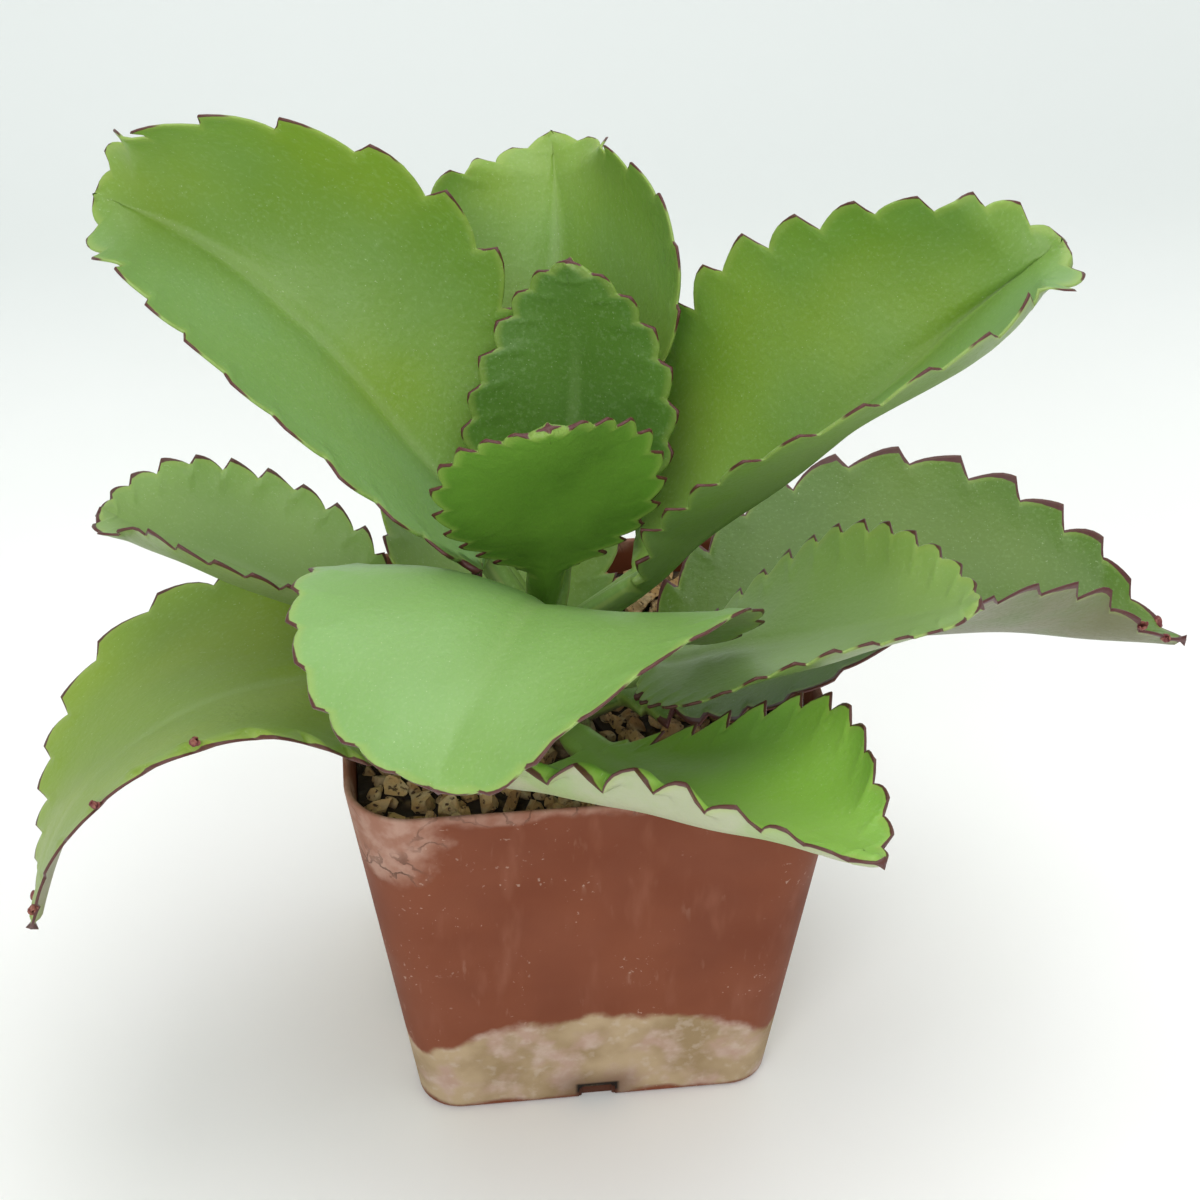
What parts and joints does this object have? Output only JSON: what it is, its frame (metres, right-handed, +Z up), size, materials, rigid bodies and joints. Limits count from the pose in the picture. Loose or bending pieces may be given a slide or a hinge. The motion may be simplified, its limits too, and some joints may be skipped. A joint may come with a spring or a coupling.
{
  "type": "potted succulent",
  "caption": "Leafy kalanchoe with large scalloped trough-shaped leaves on a short stem, growing in a square tapered plastic nursery pot of gritty medium.",
  "frame": {"origin": "middle of the pot's floor, on its underside, at the level that the pot stands on", "axes": "+Z up; the pot's sides lie along X and Y, its front faces -Y, and the widest leaves reach out along +X and -X"},
  "size_m": [0.2368, 0.1657, 0.2118],
  "materials": {
    "pot": "matte",
    "growing_medium": "matte",
    "root_ball": "matte",
    "stem": "satin",
    "leaf": "satin",
    "grit": "matte"
  },
  "bodies": {
    "root": {"nursery_pot": "pot", "growing_medium": "growing_medium", "root_ball": "root_ball", "stem": "stem", "leaf_1_front": "leaf", "leaf_1_back": "leaf", "leaf_2_left": "leaf", "leaf_2_right": "leaf", "leaf_3_front": "leaf", "leaf_3_back": "leaf", "leaf_4_left": "leaf", "leaf_4_right": "leaf", "leaf_5_front": "leaf", "leaf_5_back": "leaf", "leaf_6_left": "leaf", "leaf_6_right": "leaf", "grit_stone_01": "grit", "grit_stone_02": "grit", "grit_stone_03": "grit", "grit_stone_04": "grit", "grit_stone_05": "grit", "grit_stone_06": "grit", "grit_stone_07": "grit", "grit_stone_08": "grit", "grit_stone_09": "grit", "grit_stone_10": "grit", "grit_stone_11": "grit", "grit_stone_12": "grit", "grit_stone_13": "grit", "grit_stone_14": "grit", "grit_stone_15": "grit", "grit_stone_16": "grit", "grit_stone_17": "grit", "grit_stone_18": "grit", "grit_stone_19": "grit", "grit_stone_20": "grit"}
  },
  "joints": []
}
